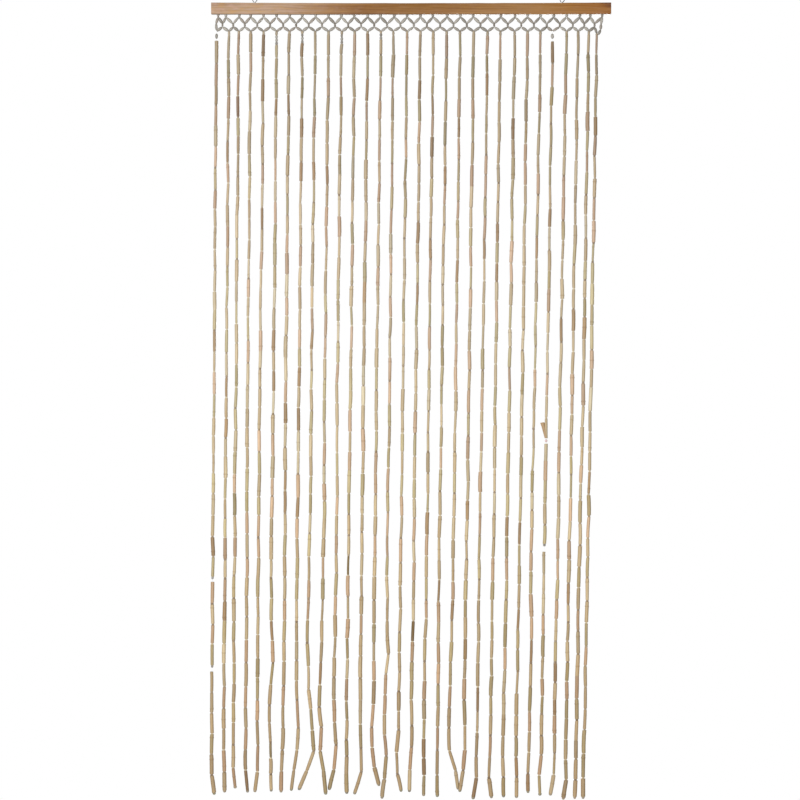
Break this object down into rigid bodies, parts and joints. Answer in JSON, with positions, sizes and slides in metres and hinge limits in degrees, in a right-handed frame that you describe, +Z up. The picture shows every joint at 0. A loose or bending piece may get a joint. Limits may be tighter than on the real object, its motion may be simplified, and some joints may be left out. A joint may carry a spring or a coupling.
{
  "type": "bead curtain with wooden rail",
  "caption": "Hanging door curtain: strands of bamboo tubes on thread below a net heading of small beads, carried by a varnished wooden rail with wire screw eyes.",
  "frame": {"origin": "middle of the rail's top face", "axes": "+X to the right along the rail, +Y to the back, +Z up; the strands hang towards -Z"},
  "size_m": [0.9042, 0.0166, 1.8085],
  "materials": {
    "varnished_wood": "satin varnish over straight grain, paler at the left end and darker at the right",
    "zinc_wire": "bright zinc plate",
    "grey_beads": "clear grey, glossy",
    "bamboo": "dry natural cane, smooth, with lengthwise fibres"
  },
  "bodies": {
    "root": {"head_rail": "varnished_wood", "screw_eye_left": "zinc_wire", "screw_eye_right": "zinc_wire", "bead_net": "grey_beads", "tube_strands": "bamboo"}
  },
  "joints": []
}
